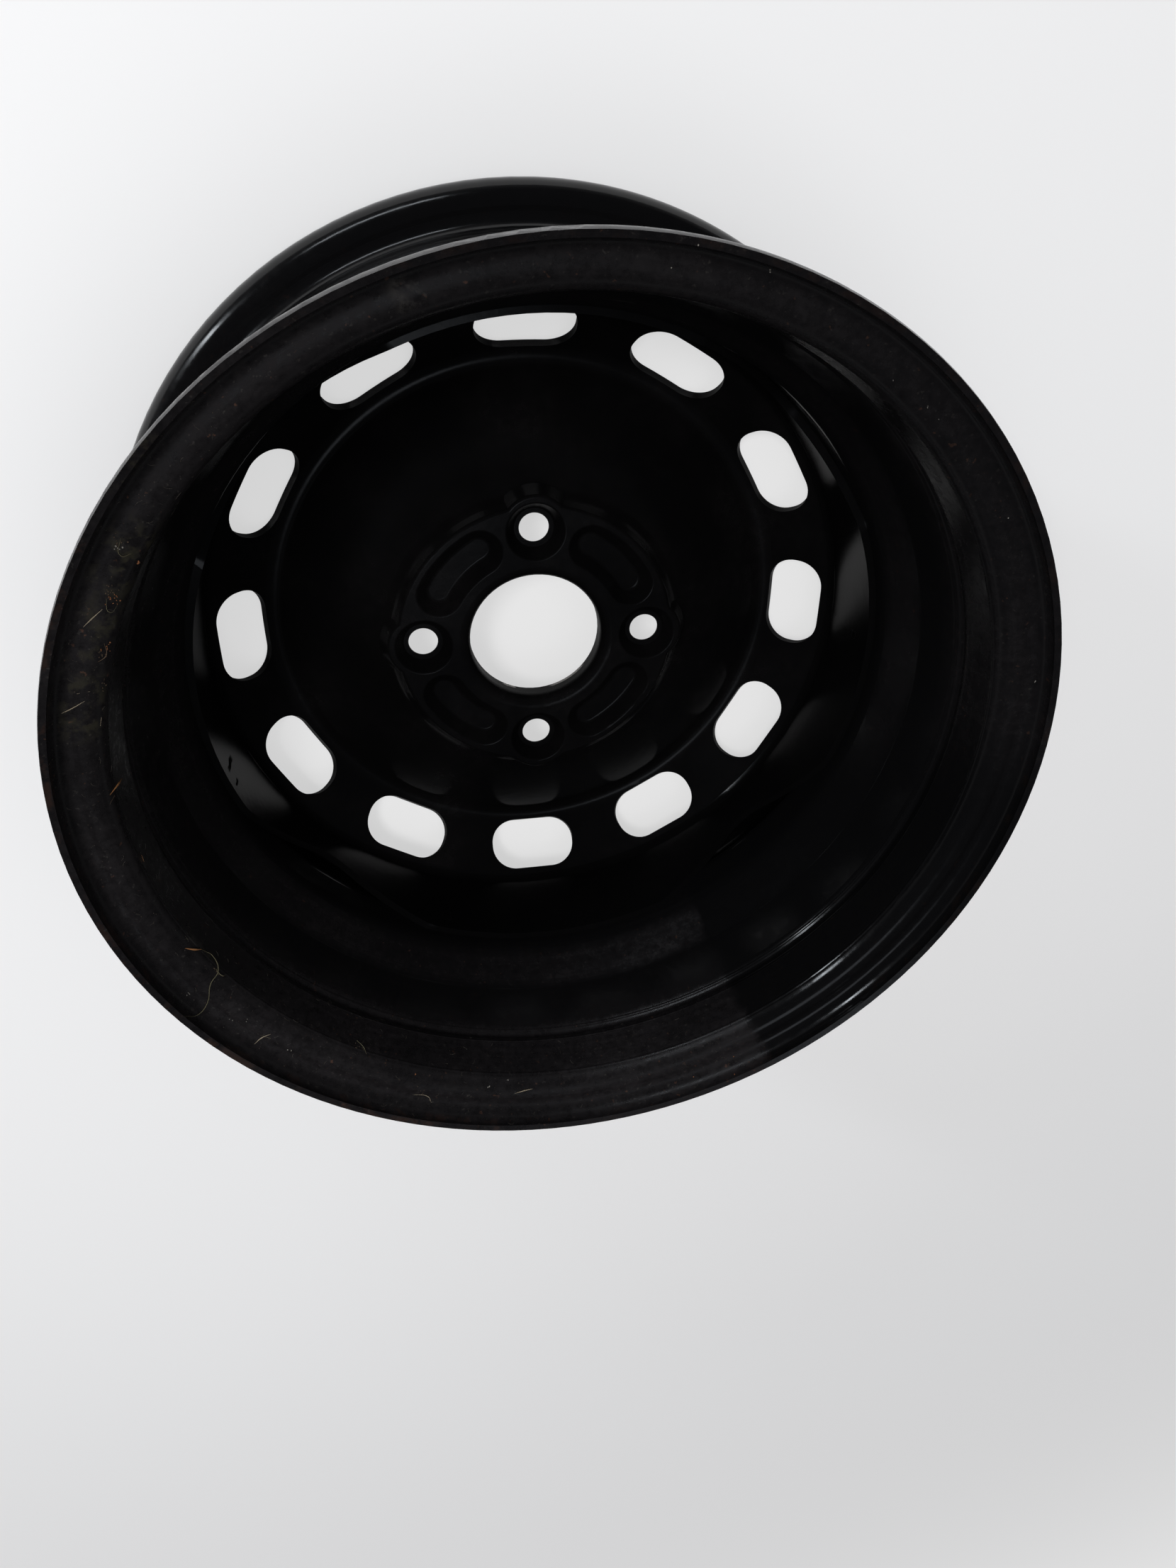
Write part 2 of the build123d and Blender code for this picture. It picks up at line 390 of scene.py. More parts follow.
def discPaint():
    look = discLook
    material, tree, shader, at = newMaterial("discPaint")
    speck = specks(tree, at, look["noise"])
    skirt = spread(tree, at["radius"], *look["skirtR"])
    film = times(
        tree,
        spread(tree, speck["broad"], *look["broadFilm"]),
        spread(tree, speck["fine"], *look["fineFilm"]),
        spread(tree, skirt, 0.0, 1.0, 1.0, look["skirtFilm"]),
    )
    colour = blend(tree, film, look["paint"], look["dust"])
    # Runs of old dirt down the skirt take its shine away
    waver = times(tree, minus(tree, speck["waver"], 0.5), look["runWaver"])
    bent = dict(at, turn=plus(tree, at["turn"], waver))
    runs = times(tree, marks(tree, bent, look["runs"]), skirt)
    colour = blend(tree, times(tree, runs, look["runDark"]), colour, look["paint"])
    # The collar's cut end is bare where it was knocked
    inCollar = times(tree, calc(tree, "LESS_THAN", at["radius"], look["collarR"]),
                     calc(tree, "LESS_THAN", at["z"], look["collarZ"]))
    bare = times(tree, sector(tree, at["turn"], *look["bare"]),
                 spread(tree, speck["patch"], *look["bareSpread"]))
    scuffed = times(tree, sector(tree, at["turn"], *look["scuffed"]),
                    spread(tree, speck["patch"], *look["scuffedSpread"]))
    worn = times(tree, inCollar, largest(tree, bare, scuffed))
    plug(tree, shader.inputs["Base Color"], blend(tree, worn, colour, look["steel"]))
    plug(tree, shader.inputs["Metallic"], worn)
    left = minus(tree, 1.0, times(tree, runs, look["runDull"]))
    plug(tree, shader.inputs["Specular IOR Level"], times(tree, left, look["shine"]))
    rough = spread(tree, film, 0.0, look["roughDust"],
                   look["rough"], look["dustRough"], smooth=False)
    rough = largest(tree, rough, times(tree, runs, look["runRough"]))
    rough = spread(tree, worn, 0.0, 1.0, rough, look["steelRough"], smooth=False)
    plug(tree, shader.inputs["Roughness"], rough)
    orange = bump(tree, speck["orange"], look["orangeHigh"])
    plug(tree, shader.inputs["Normal"], bump(tree, speck["fine"], look["grainHigh"], orange))
    return material


# Any other piece has one colour in darker and lighter patches, and a finer grain
plainGrain = {
    "patchDetail": 4.0,
    "grainDetail": 3.0,
    "grainFiner": 4,           # how many times as fine as the patches
    "grainHigh": 0.05 * mm,
}


def plainLook(name, colour, rough, patchy=0.5, scale=300.0):
    look = plainGrain
    material, tree, shader, at = newMaterial(name)
    darker = tuple(c * (1 - patchy) for c in colour[:3]) + (1,)
    patches = noise(tree, at["place"], scale, look["patchDetail"])
    plug(tree, shader.inputs["Base Color"], blend(tree, patches, darker, colour))
    shader.inputs["Roughness"].default_value = rough
    grain = noise(tree, at["place"], scale * look["grainFiner"], look["grainDetail"])
    plug(tree, shader.inputs["Normal"], bump(tree, grain, look["grainHigh"]))
    return material


def dress(item, material):
    item.data.materials.clear()
    item.data.materials.append(material)


dress(rim, barrelPaint())
dress(disc, discPaint())
print("stage: paints")


def addObject(name, data):
    item = bpy.data.objects.new(name, data)
    scene.collection.objects.link(item)
    return item


# Pieces that sit on the wheel ride on its only body
def addPiece(name, mesh):
    piece = addObject(name, mesh)
    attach(piece, "root")
    return piece


rimTree = BVHTree.FromPolygons([v.co.copy() for v in rim.data.vertices],
                               [tuple(p.vertices) for p in rim.data.polygons])


def onBarrel(angle, radius, height, lift):
    # Nearest point of the barrel's skin to a place in degrees and mm, lifted off it
    a = math.radians(angle)
    near = Vector((math.cos(a) * radius, math.sin(a) * radius, height)) * mm
    hit, normal, _, _ = rimTree.find_nearest(near)
    return hit + normal * lift


def runTree(item, tree, values):
    # The mesh that this tree makes of the item, with its named inputs set
    added = item.modifiers.new("shape", "NODES")
    added.node_group = tree
    for socket in tree.interface.items_tree:
        if socket.in_out == "INPUT" and socket.name in values:
            added[socket.identifier] = values[socket.name]
    item.update_tag()
    bpy.context.view_layer.update()
    shown = item.evaluated_get(bpy.context.evaluated_depsgraph_get())
    mesh = bpy.data.meshes.new_from_object(shown)
    item.modifiers.remove(added)
    bpy.data.objects.remove(item)
    return mesh


def newTree(name, numbers, whole=("Seed",)):
    # A geometry tree with these named inputs, and the sockets that they come out of
    tree = bpy.data.node_groups.new(name, "GeometryNodeTree")
    face = tree.interface
    face.new_socket("Geometry", in_out="INPUT", socket_type="NodeSocketGeometry")
    for word in numbers:
        face.new_socket(word, in_out="INPUT", socket_type="NodeSocketFloat")
    for word in whole:
        face.new_socket(word, in_out="INPUT", socket_type="NodeSocketInt")
    face.new_socket("Geometry", in_out="OUTPUT", socket_type="NodeSocketGeometry")
    return tree, node(tree, "NodeGroupInput").outputs


def closeTree(tree, shape, material, smooth=True):
    real = node(tree, "GeometryNodeRealizeInstances")
    plug(tree, real.inputs[0], shape)
    shape = real.outputs[0]
    if smooth:
        shaded = node(tree, "GeometryNodeSetShadeSmooth")
        plug(tree, shaded.inputs[0], shape)
        shape = shaded.outputs[0]
    painted = node(tree, "GeometryNodeSetMaterial")
    painted.inputs["Material"].default_value = material
    plug(tree, painted.inputs[0], shape)
    plug(tree, node(tree, "NodeGroupOutput").inputs[0], painted.outputs[0])
    return tree


def ball(tree, subdivisions):
    # An ico sphere one unit across
    made = node(tree, "GeometryNodeMeshIcoSphere")
    made.inputs["Subdivisions"].default_value = subdivisions
    made.inputs["Radius"].default_value = 0.5
    return made.outputs["Mesh"]


def strew(tree, points, shape, rotation, size):
    # The shape on each point
    placed = node(tree, "GeometryNodeInstanceOnPoints")
    plug(tree, placed.inputs["Points"], points)
    plug(tree, placed.inputs["Instance"], shape)
    plug(tree, placed.inputs["Rotation"], rotation)
    plug(tree, placed.inputs["Scale"], size)
    return placed.outputs[0]


def randomSize(tree, source, low, high):
    made = node(tree, "FunctionNodeRandomValue", data_type="FLOAT_VECTOR")
    plug(tree, made.inputs[0], low)
    plug(tree, made.inputs[1], high)
    plug(tree, made.inputs["Seed"], source["Seed"])
    return made.outputs[0]


def evenly(tree, value):
    return combine(tree, value, value, value)


def circle(tree, sides, radius):
    made = node(tree, "GeometryNodeCurvePrimitiveCircle")
    made.inputs["Resolution"].default_value = sides
    plug(tree, made.inputs["Radius"], radius)
    return made.outputs[0]


def sweep(tree, curve, profile, width=None):
    # The profile drawn along the curve, closed at both ends
    made = node(tree, "GeometryNodeCurveToMesh")
    plug(tree, made.inputs["Curve"], curve)
    plug(tree, made.inputs["Profile Curve"], profile)
    plug(tree, made.inputs["Scale"], width)
    made.inputs["Fill Caps"].default_value = True
    return made.outputs[0]


# Stalks of straw and fibres, stuck where they fell
strawLook = {
    "colours": {
        "orange": (0.26, 0.115, 0.040, 1),
        "pale": (0.25, 0.21, 0.15, 1),
        "brown": (0.085, 0.055, 0.035, 1),
        "moss": (0.095, 0.085, 0.050, 1),
    },
    "rough": 0.75,
    "patchy": 0.6,
    "patches": 500.0,
    "flat": 0.5,
    "sides": 8,
    "smoothness": 6,
    "blunt": 0.4,              # power of the taper: the lower, the longer the full width
    "tips": 0.22,              # width at the ends, as a share of the middle's
    "lift": 0.35,              # how far a stalk's ends stand off the paint, in widths
    "rise": 0.35 * mm,         # and how much further its middle does
    # colour and width in mm, then angle, radius and height of each point
    "stalks": [
        ("orange", 0.75, [(178.4, 176.0, 116.4), (178.0, 174.4, 111.0), (178.4, 173.7, 105.2)]),
        ("brown", 0.40, [(179.6, 176.6, 117.0), (178.9, 175.2, 114.3)]),
        ("orange", 1.10, [(203.5, 176.9, 117.3), (204.7, 175.6, 115.4), (205.7, 174.5, 113.0)]),
        ("moss", 0.42, [
            (205.9, 174.4, 112.6), (208.1, 174.2, 111.2), (209.7, 175.3, 114.9),
            (209.9, 178.7, 118.7), (212.0, 185.9, 120.0), (212.3, 190.5, 122.4),
            (210.2, 191.7, 129.3),
        ]),
        ("moss", 0.50, [(209.2, 175.2, 114.6), (210.6, 175.4, 115.2), (211.2, 174.6, 113.2)]),
        ("pale", 0.55, [(221.2, 189.0, 121.1), (221.3, 185.3, 120.0), (221.9, 181.2, 119.7)]),
        ("pale", 0.32, [(222.4, 183.0, 119.9), (221.0, 184.4, 120.0)]),
        ("moss", 0.40, [(234.8, 174.0, 108.4), (235.9, 174.2, 111.4), (236.6, 174.8, 114.1)]),
        ("pale", 0.36, [(245.5, 186.2, 120.0), (247.7, 185.6, 120.0), (248.5, 188.7, 120.9)]),
        ("pale", 0.62, [(260.5, 180.6, 119.5), (262.0, 179.2, 119.0), (263.2, 178.7, 118.7)]),
        ("orange", 0.50, [(189.1, 174.1, 110.3), (190.1, 174.2, 110.8)]),
        ("pale", 0.42, [(156.5, 185.0, 120.0), (155.2, 183.1, 119.9), (153.9, 180.9, 119.6)]),
        ("pale", 0.38, [(167.0, 188.4, 120.7), (166.3, 185.0, 120.0), (165.3, 181.2, 119.7)]),
        ("pale", 0.34, [(164.5, 183.8, 120.0), (164.1, 179.8, 119.2)]),
        ("pale", 0.50, [(167.7, 176.2, 116.5), (168.8, 176.5, 116.8)]),
        ("pale", 0.26, [(172.0, 191.6, 129.0), (172.1, 191.0, 123.8)]),
        ("moss", 0.28, [(152.5, 181.0, 119.6), (154.1, 178.5, 118.6), (153.2, 177.0, 117.4)]),
        ("brown", 0.34, [(158.0, 177.8, 118.2), (159.6, 176.8, 117.2), (160.4, 178.6, 118.6)]),
        ("moss", 0.26, [(145.6, 184.0, 120.0), (147.4, 181.6, 119.7), (146.8, 179.0, 118.9)]),
    ],
}


def stalkTree(material):
    # A flat blade along each curve, as wide as the curve's own radius and drawn out at both ends
    look = strawLook
    tree, source = newTree("stalk", ("Flat",), ())
    factor = node(tree, "GeometryNodeSplineParameter").outputs["Factor"]
    hump = times(tree, factor, minus(tree, 1.0, factor), 4.0)    # 1 in the middle
    taper = largest(tree, calc(tree, "POWER", hump, look["blunt"]), look["tips"])
    wide = node(tree, "GeometryNodeInputRadius").outputs[0]
    flat = node(tree, "GeometryNodeTransform")
    plug(tree, flat.inputs["Geometry"], circle(tree, look["sides"], 1.0))
    plug(tree, flat.inputs["Scale"], combine(tree, 1.0, source["Flat"], 1.0))
    blade = sweep(tree, source["Geometry"], flat.outputs[0], times(tree, wide, taper))
    return closeTree(tree, blade, material)


def addStraws():
    look = strawLook
    for colour, shade in look["colours"].items():
        curve = bpy.data.curves.new(colour, "CURVE")
        curve.dimensions = "3D"
        curve.resolution_u = look["smoothness"]
        for kind, width, route in look["stalks"]:
            if kind != colour:
                continue
            spline = curve.splines.new("BEZIER")
            spline.bezier_points.add(len(route) - 1)
            for k, (point, place) in enumerate(zip(spline.bezier_points, route)):
                middle = 0 < k < len(route) - 1
                rise = width * mm * look["lift"] + (look["rise"] if middle else 0.0)
                point.co = onBarrel(*place, rise)
                point.radius = width * mm / 2
                point.handle_left_type = point.handle_right_type = "AUTO"
        item = addObject(colour, curve)
        name = f"straw_{colour}"
        material = plainLook(name, shade, look["rough"], look["patchy"], look["patches"])
        mesh = runTree(item, stalkTree(material), {"Flat": look["flat"]})
        addPiece(name, mesh)


addStraws()
print("stage: straw")

# Rippled welds on the hidden side, along the arc that the plain solids hold
weldLook = {
    "colour": (0.011, 0.011, 0.0115, 1),
    "rough": 0.36,
    "patchy": 0.4,
    "patches": 200.0,
    "count": 4,
    "turn": 24.0,              # degrees that a seam covers
    "pitch": 1.5 * mm,
    "wide": 5.2 * mm,
    "deep": 2.4 * mm,
    "long": 2.6,               # a crescent's length in pitches
    "endGap": 1.6,             # how many pitches stay free at each end
    "inward": 0.5 * mm,        # from the middle of the plain seam
    "upward": 0.2 * mm,
    "uneven": (0.86, 1.1),     # least and most of the width
    "steps": 60,
    "seed": 4,
}


def rippleTree(material):
    # Crescents laid one over the next along a curve
    tree, source = newTree("weldRipples", ("Pitch", "Wide", "Deep"))
    points = node(tree, "GeometryNodeCurveToPoints", mode="LENGTH")
    plug(tree, points.inputs["Curve"], source["Geometry"])
    plug(tree, points.inputs["Length"], source["Pitch"])
    jitter = node(tree, "FunctionNodeRandomValue", data_type="FLOAT")
    jitter.inputs[2].default_value, jitter.inputs[3].default_value = weldLook["uneven"]
    plug(tree, jitter.inputs["Seed"], source["Seed"])
    wide = times(tree, source["Wide"], jitter.outputs[1])
    size = combine(tree, source["Deep"], wide, times(tree, source["Pitch"], weldLook["long"]))
    rotation = points.outputs["Rotation"]
    bead = ball(tree, subdivisions=3)
    beads = strew(tree, points.outputs["Points"], bead, rotation, size)
    return closeTree(tree, beads, material)


def seamPath(name, middle):
    # The arc through the middle of a plain seam, short of both its ends
    look = weldLook
    verts = [v.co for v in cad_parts[name].data.vertices]
    low, high = min(v.z for v in verts), max(v.z for v in verts)
    inner, outer = min(v.xy.length for v in verts), max(v.xy.length for v in verts)
    half = math.radians(look["turn"]) / 2 - look["endGap"] * look["pitch"] / inner
    curve = bpy.data.curves.new(name, "CURVE")
    curve.dimensions = "3D"
    line = curve.splines.new("POLY")
    steps = look["steps"]
    line.points.add(steps)
    r = (inner + outer) / 2 - look["inward"]
    z = (low + high) / 2 + look["upward"]
    for k in range(steps + 1):
        a = math.radians(middle) - half + 2 * half * k / steps
        line.points[k].co = (r * math.cos(a), r * math.sin(a), z, 1)
    return addObject(name + "_path", curve)


def addWelds():
    look = weldLook
    material = plainLook("weldPaint", look["colour"], look["rough"],
                         look["patchy"], look["patches"])
    tree = rippleTree(material)
    for i in range(look["count"]):
        name = f"weld_seam_{i + 1}"
        item = seamPath(name, 360.0 / look["count"] * (i + 1))
        values = {"Pitch": look["pitch"], "Wide": look["wide"], "Deep": look["deep"],
                  "Seed": look["seed"] + i}
        bead = addPiece(f"weldBead_{i + 1}", runTree(item, tree, values))
        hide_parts(name)


addWelds()
print("stage: welds")

# Grit and lint that lie on the dusty side of the barrel
litterLook = {
    "sector": (128.0, 294.0),  # degrees
    "heights": (88 * mm, 129 * mm),
    "facing": 0.4,             # how far a face has to look up or inwards to hold any
    "spinSeed": 5.0,           # added to the seed of a kind
    "rough": 0.85,
    "grit": dict(density=16000.0, smallest=0.12 * mm, largest=0.42 * mm, seed=11,
                 colour=(0.060, 0.047, 0.038, 1)),
    "lint": dict(density=5200.0, smallest=0.30, largest=1.25, seed=23,
                 colour=(0.070, 0.062, 0.052, 1)),
    "lintLength": 2.6 * mm,
    "lintThick": 0.055 * mm,
    "lintBend": 1.0,           # radians
    "lintMiddle": (-0.88, -0.44),  # in lengths: brings the arc's middle to its point
    "lintSteps": 6,
    "lintSides": 3,
}


def scatter(tree, source, shape, low, high):
    # The shape strewn over the faces from size to size, turned about their normals
    points = node(tree, "GeometryNodeDistributePointsOnFaces")
    plug(tree, points.inputs["Mesh"], source["Geometry"])
    plug(tree, points.inputs["Density"], source["Density"])
    plug(tree, points.inputs["Seed"], source["Seed"])
    spin = node(tree, "FunctionNodeRandomValue", data_type="FLOAT")
    spin.inputs[3].default_value = 2 * math.pi
    plug(tree, spin.inputs["Seed"], plus(tree, source["Seed"], litterLook["spinSeed"]))
    turned = node(tree, "FunctionNodeRotateRotation", rotation_space="LOCAL")
    plug(tree, turned.inputs[0], points.outputs["Rotation"])
    about = node(tree, "FunctionNodeAxisAngleToRotation")
    plug(tree, about.inputs["Angle"], spin.outputs[1])
    plug(tree, turned.inputs[1], about.outputs[0])
    size = randomSize(tree, source, low, high)
    return strew(tree, points.outputs["Points"], shape, turned.outputs[0], size)


def gritTree(material):
    tree, source = newTree("grit", ("Density", "Smallest", "Largest"))
    flatter = combine(tree, source["Largest"], source["Largest"], source["Smallest"])
    grain = ball(tree, subdivisions=1)
    grit = scatter(tree, source, grain, evenly(tree, source["Smallest"]), flatter)
    return closeTree(tree, grit, material, smooth=False)


def lintTree(material):
    look = litterLook
    tree, source = newTree("lint", ("Density", "Smallest", "Largest", "Length", "Thick"))
    arc = node(tree, "GeometryNodeCurveArc")
    arc.inputs["Resolution"].default_value = look["lintSteps"]
    plug(tree, arc.inputs["Radius"], source["Length"])
    arc.inputs["Sweep Angle"].default_value = look["lintBend"]
    fibre = sweep(tree, arc.outputs[0], circle(tree, look["lintSides"], source["Thick"]))
    centred = node(tree, "GeometryNodeTransform")
    plug(tree, centred.inputs["Geometry"], fibre)
    back, down = (times(tree, source["Length"], share) for share in look["lintMiddle"])
    plug(tree, centred.inputs["Translation"], combine(tree, back, down, source["Thick"]))
    shortest = combine(tree, source["Smallest"], source["Smallest"], 1.0)
    longest = combine(tree, source["Largest"], source["Largest"], 1.0)
    lint = scatter(tree, source, centred.outputs[0], shortest, longest)
    return closeTree(tree, lint, material, smooth=False)


def litterGround(name):
    # The barrel's own upward and inward faces, inside the dusty sector
    look = litterLook
    start, end = look["sector"]
    low, high = look["heights"]
    faces = []
    for face in rim.data.polygons:
        middle, normal = face.center, face.normal
        angle = math.degrees(math.atan2(middle.y, middle.x)) % 360
        inward = -(normal.x * middle.x + normal.y * middle.y) / middle.xy.length
        facing = inward > look["facing"] or normal.z > look["facing"]
        if low < middle.z < high and start < angle < end and facing:
            faces.append(tuple(face.vertices))
    used = sorted({v for face in faces for v in face})
    fresh = {v: k for k, v in enumerate(used)}
    mesh = bpy.data.meshes.new(name)
    mesh.from_pydata([rim.data.vertices[v].co for v in used], [],
                     [tuple(fresh[v] for v in face) for face in faces])
    return addObject(name, mesh)


def addLitter():
    look = litterLook
    for name, grow in (("grit", gritTree), ("lint", lintTree)):
        kind = look[name]
        material = plainLook(name, kind["colour"], look["rough"])
        values = {"Density": kind["density"], "Seed": kind["seed"],
                  "Smallest": kind["smallest"], "Largest": kind["largest"],
                  "Length": look["lintLength"], "Thick": look["lintThick"]}
        addPiece(name, runTree(litterGround(name), grow(material), values))


# Crumbs in small heaps, at the places where the photograph has them
crumbLook = {
    "size": (0.25, 0.75),      # mm
    "sunk": 0.4,               # a crumb's middle off the paint, in smallest sizes
    "spin": 6.28,              # radians
    "rough": 0.85,
    "patchy": 0.6,
    "patches": 500.0,
    "seed": 7,
    "colours": {
        "amber": (0.20, 0.080, 0.034, 1),
        "earth": (0.060, 0.042, 0.028, 1),
        "chalk": (0.20, 0.19, 0.17, 1),
    },
    # colour, how many, how far they spread in mm, then angle, radius and height
    "heaps": [
        ("amber", 5, 0.7, (147.8, 175.9, 116.1)),
        ("amber", 12, 3.2, (152.4, 179.3, 119.0)),
        ("earth", 16, 3.6, (151.6, 180.0, 119.3)),
        ("amber", 9, 2.2, (158.7, 177.1, 117.5)),
        ("earth", 10, 2.4, (159.2, 177.6, 118.0)),
        ("earth", 9, 2.2, (163.3, 176.2, 116.4)),
        ("chalk", 6, 2.4, (146.8, 183.0, 119.9)),
        ("earth", 10, 3.0, (145.9, 184.0, 120.0)),
        ("amber", 4, 0.6, (244.7, 176.4, 116.8)),
        ("chalk", 3, 1.2, (225.9, 183.6, 120.0)),
        ("earth", 8, 2.4, (235.4, 174.4, 112.0)),
        ("earth", 7, 2.0, (209.8, 175.4, 115.1)),
        ("earth", 8, 2.6, (246.5, 182.0, 119.9)),
        ("amber", 2, 0.4, (294.4, 187.9, 120.5)),
        ("amber", 2, 0.3, (287.7, 189.5, 121.5)),
        ("amber", 2, 0.4, (293.4, 192.0, 127.3)),
        ("chalk", 3, 0.9, (209.4, 188.2, 120.6)),
        ("chalk", 2, 0.8, (216.2, 185.2, 120.0)),
        ("chalk", 2, 0.8, (217.7, 182.0, 119.9)),
        ("chalk", 4, 1.6, (256.3, 177.9, 118.1)),
        ("chalk", 3, 1.4, (259.4, 175.7, 115.8)),
        ("chalk", 1, 0.2, (81.7, 183.6, 120.0)),
        ("chalk", 1, 0.2, (80.4, 192.1, 129.5)),
        ("chalk", 2, 0.8, (72.3, 190.2, 122.2)),
        ("chalk", 1, 0.2, (53.9, 180.2, 119.4)),
        ("chalk", 2, 0.8, (48.7, 181.4, 119.7)),
        ("chalk", 1, 0.2, (46.6, 181.8, 119.8)),
        ("chalk", 1, 0.2, (30.7, 185.8, 120.0)),
        ("chalk", 2, 0.9, (7.6, 188.8, 121.0)),
    ],
}


def crumbTree(material):
    # One lump on each point of the item, none like the next
    tree, source = newTree("crumbs", ("Smallest", "Largest"))
    size = randomSize(tree, source, evenly(tree, source["Smallest"]),
                      evenly(tree, source["Largest"]))
    spin = node(tree, "FunctionNodeRandomValue", data_type="FLOAT_VECTOR")
    spin.inputs[1].default_value = (crumbLook["spin"],) * 3
    plug(tree, spin.inputs["Seed"], source["Seed"])
    lump = ball(tree, subdivisions=1)
    lumps = strew(tree, source["Geometry"], lump, spin.outputs[0], size)
    return closeTree(tree, lumps, material, smooth=False)


def addCrumbs():
    look = crumbLook
    dice = random.Random(look["seed"])
    smallest, widest = (v * mm for v in look["size"])
    values = {"Smallest": smallest, "Largest": widest, "Seed": look["seed"]}
    for colour, shade in look["colours"].items():
        points = []
        for kind, count, reach, (angle, radius, height) in look["heaps"]:
            if kind != colour:
                continue
            for _ in range(count):
                turn = angle + math.degrees(dice.gauss(0, reach / 2) / radius)
                out = radius + dice.gauss(0, reach / 2)
                up = height + dice.gauss(0, reach / 3)
                points.append(onBarrel(turn, out, up, smallest * look["sunk"]))
        mesh = bpy.data.meshes.new(colour)
        mesh.from_pydata(points, [], [])
        item = addObject(colour, mesh)
        name = f"crumbs_{colour}"
        material = plainLook(name, shade, look["rough"], look["patchy"], look["patches"])
        addPiece(name, runTree(item, crumbTree(material), values))


addLitter()
addCrumbs()
print("stage: litter")

# Pale floor that takes the shadow, with a painted shadow and a painted glow under the wheel
floorLook = {
    "half": 6.0,
    "rough": 0.9,
    "colour": (0.78, 0.78, 0.785, 1),
    "paintedDark": (0.012, 0.012, 0.012, 1),
    "patch": (3.5 * mm, -11.7 * mm),  # middle of what shows through the slots and the bore
    "patchR": 162 * mm,
    # painted light: a glow that keeps the shaded floor under the wheel pale to the camera
    "paintedPatchGlow": 0.60,
    "seenThrough": 0.28,       # how much of its shading the camera sees there; painted glow makes up the rest
    "mirrored": 0.3,           # how much of its middle the paint mirrors, a painted reflection; the rest under the wheel is painted dark to reflections
    "mirroredR": 152 * mm,
    "mirroredSoft": 8 * mm,
    "underR": 191 * mm,        # beyond it the floor lies open; inside it, past the patch, the floor is painted dark as the barrel's shadow
    "soft": 2 * mm,
    "fades": (0.6, 2.2),       # metres from the axis
    "farGlow": 0.84,
}


def addFloor():
    look = floorLook
    z = cadBox[0].z
    mesh = bpy.data.meshes.new("floor")
    a = look["half"]
    mesh.from_pydata([(-a, -a, z), (a, -a, z), (a, a, z), (-a, a, z)], [], [(0, 1, 2, 3)])
    floor = addObject("floor", mesh)
    material, tree, shader, at = newMaterial("floor")
    shader.inputs["Roughness"].default_value = look["rough"]
    shader.inputs["Specular IOR Level"].default_value = 0.0
    # Painted light and shade: what shows through the slots and the bore gets a painted glow as
    # pale as the open floor, and what only shows past the skirt's scallops is painted dark as the
    # barrel's shadow.
    # Bounced light sees the floor under the wheel painted dark too, and reflections see only its
    # middle, dimmed.
    away = node(tree, "ShaderNodeVectorMath", operation="DISTANCE")
    plug(tree, away.inputs[0], at["place"])
    away.inputs[1].default_value = (*look["patch"], z)
    soft = look["soft"]
    inside = spread(tree, away.outputs["Value"], look["patchR"] + soft, look["patchR"] - soft)
    outside = spread(tree, at["radius"], look["underR"] - soft, look["underR"])
    path = node(tree, "ShaderNodeLightPath").outputs
    camera = path["Is Camera Ray"]
    middle = spread(tree, at["radius"], look["mirroredR"] - look["mirroredSoft"],
                    look["mirroredR"], look["mirrored"], 0.0)
    seen = times(tree, path["Is Glossy Ray"], middle)
    seen = calc(tree, "MULTIPLY_ADD", camera, look["seenThrough"], seen)
    # Painted shade: the share of the floor's colour that shows, small under the wheel
    paintedLitShare = largest(tree, times(tree, inside, seen), outside)
    far = spread(tree, at["radius"], *look["fades"])
    near = blend(tree, paintedLitShare, look["paintedDark"], look["colour"])
    plug(tree, shader.inputs["Base Color"], blend(tree, far, near, look["paintedDark"]))
    shader.inputs["Emission Color"].default_value = (1, 1, 1, 1)
    # Far out the floor runs into the backdrop, so no horizon shows; under the wheel the camera
    # sees a painted glow
    glow = plus(tree, times(tree, inside, look["paintedPatchGlow"]), times(tree, far, look["farGlow"]))
    plug(tree, shader.inputs["Emission Strength"], times(tree, camera, glow))
    dress(floor, material)


worldLook = {
    "fill": (0.36, 0.36, 0.365, 1),
    "above": (0.014, 0.015, 0.018, 1),
    "low": (0.17, 0.17, 0.175, 1),
    "band": (0.02, 0.34),      # sine of the elevation where the pale band fades out
    "backdrop": (0.85, 0.85, 0.855, 1),
}


def addWorld():
    # Even fill, a dim dome in reflections and a pale backdrop behind it all
    look = worldLook
    world = bpy.data.worlds.new("studio")
    scene.world = world
    world.use_nodes = True
    tree = world.node_tree
    ground = tree.nodes["Background"]
    parts = node(tree, "ShaderNodeSeparateXYZ")
    plug(tree, parts.inputs[0], node(tree, "ShaderNodeTexCoord").outputs["Generated"])
    low = spread(tree, parts.outputs[2], *look["band"], 1.0, 0.0)
    path = node(tree, "ShaderNodeLightPath").outputs
    mirrored = blend(tree, low, look["above"], look["low"])
    shown = blend(tree, path["Is Glossy Ray"], look["fill"], mirrored)
    seen = largest(tree, path["Is Camera Ray"], path["Is Transmission Ray"])
    plug(tree, ground.inputs["Color"], blend(tree, seen, shown, look["backdrop"]))
    ground.inputs["Strength"].default_value = 1.0


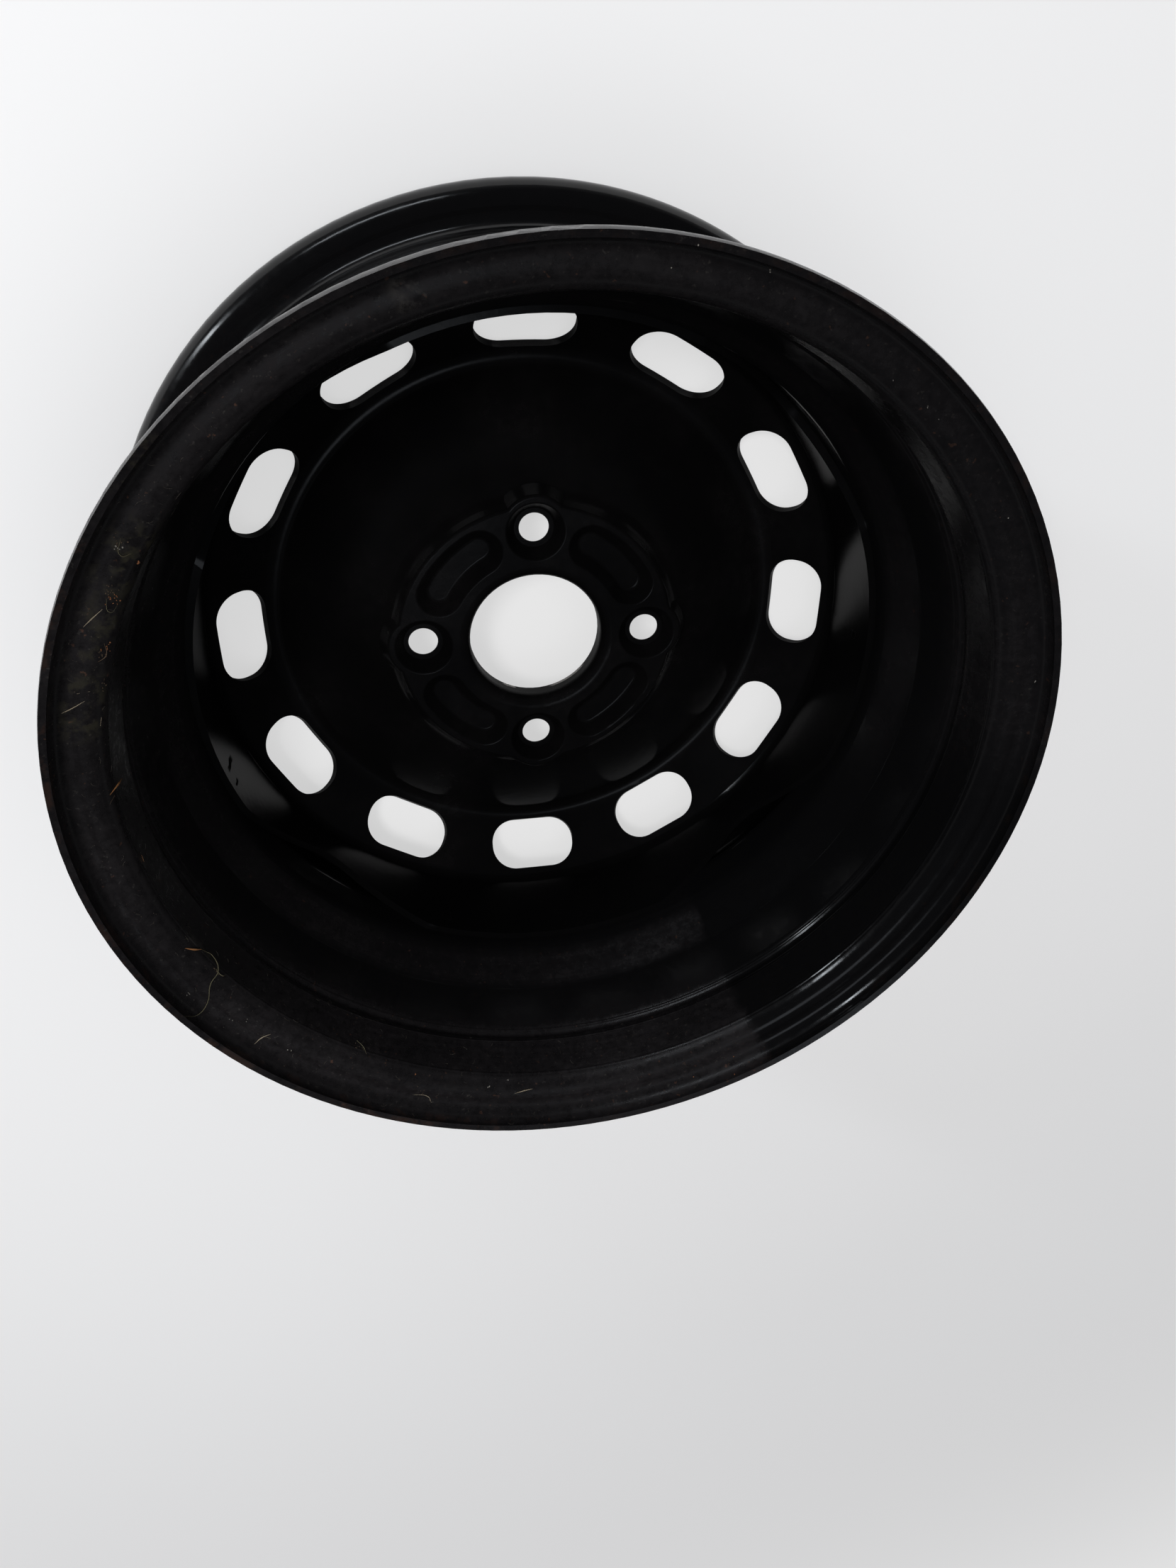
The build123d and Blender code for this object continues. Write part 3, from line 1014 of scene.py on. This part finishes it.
lamps = {
    # azimuth and elevation in degrees, distance and size in metres, power in watts
    "window": dict(azimuth=147, elevation=21, distance=2.2, size=(0.16, 0.55),
                   power=8, colour=(0.88, 0.94, 1.0), mirrored=True),
    "sill": dict(azimuth=110, elevation=20, distance=2.4, size=(1.0, 0.20),
                 power=6, colour=(0.88, 0.94, 1.0), mirrored=True),
    "ceiling": dict(azimuth=60, elevation=82, distance=2.4, size=(2.2, 2.2),
                    power=13, colour=(1.0, 1.0, 1.0), mirrored=False),
    "skylight": dict(azimuth=250, elevation=80, distance=2.2, size=(0.5, 0.5),
                     power=0.9, colour=(0.86, 0.92, 1.0), mirrored=True),
    "wall": dict(azimuth=134, elevation=60, distance=2.4, size=(0.55, 0.55),
                 power=34, colour=(1.0, 0.99, 0.98), mirrored=False),
}


def addLamps():
    for name, look in lamps.items():
        data = bpy.data.lights.new(name, "AREA")
        data.shape = "RECTANGLE"
        data.size, data.size_y = look["size"]
        data.energy = look["power"]
        data.color = look["colour"]
        lamp = addObject(name, data)
        a, e = math.radians(look["azimuth"]), math.radians(look["elevation"])
        back = Vector((math.cos(a) * math.cos(e), math.sin(a) * math.cos(e), math.sin(e)))
        lamp.location = back * look["distance"]
        lamp.rotation_mode = "QUATERNION"
        lamp.rotation_quaternion = (-back).to_track_quat("-Z", "Y")
        lamp.visible_glossy = look["mirrored"]


# The photograph's viewpoint, from the wheel's own rings, slots and bolt holes
cameraLook = {
    "place": (-0.06863, 0.23612, 0.48941),
    "right": (0.98339, 0.01473, 0.18089),
    "up": (0.08581, 0.84053, -0.53492),
    "back": (-0.15993, 0.54156, 0.82531),
    "focalPixels": 1590.63,
    "frame": (1659, 2212),
    "sensor": 36.0,
    "clip": (0.01, 50.0),
}


def addCamera():
    look = cameraLook
    data = bpy.data.cameras.new("camera")
    data.sensor_fit = "AUTO"
    data.sensor_width = look["sensor"]
    data.lens = look["focalPixels"] / max(look["frame"]) * look["sensor"]
    data.clip_start, data.clip_end = look["clip"]
    camera = addObject("camera", data)
    turn = Matrix((look["right"], look["up"], look["back"])).transposed()
    camera.matrix_world = Matrix.Translation(look["place"]) @ turn.to_4x4()
    scene.camera = camera


addFloor()
addWorld()
addLamps()
addCamera()
print("stage: floor, lamps and camera")
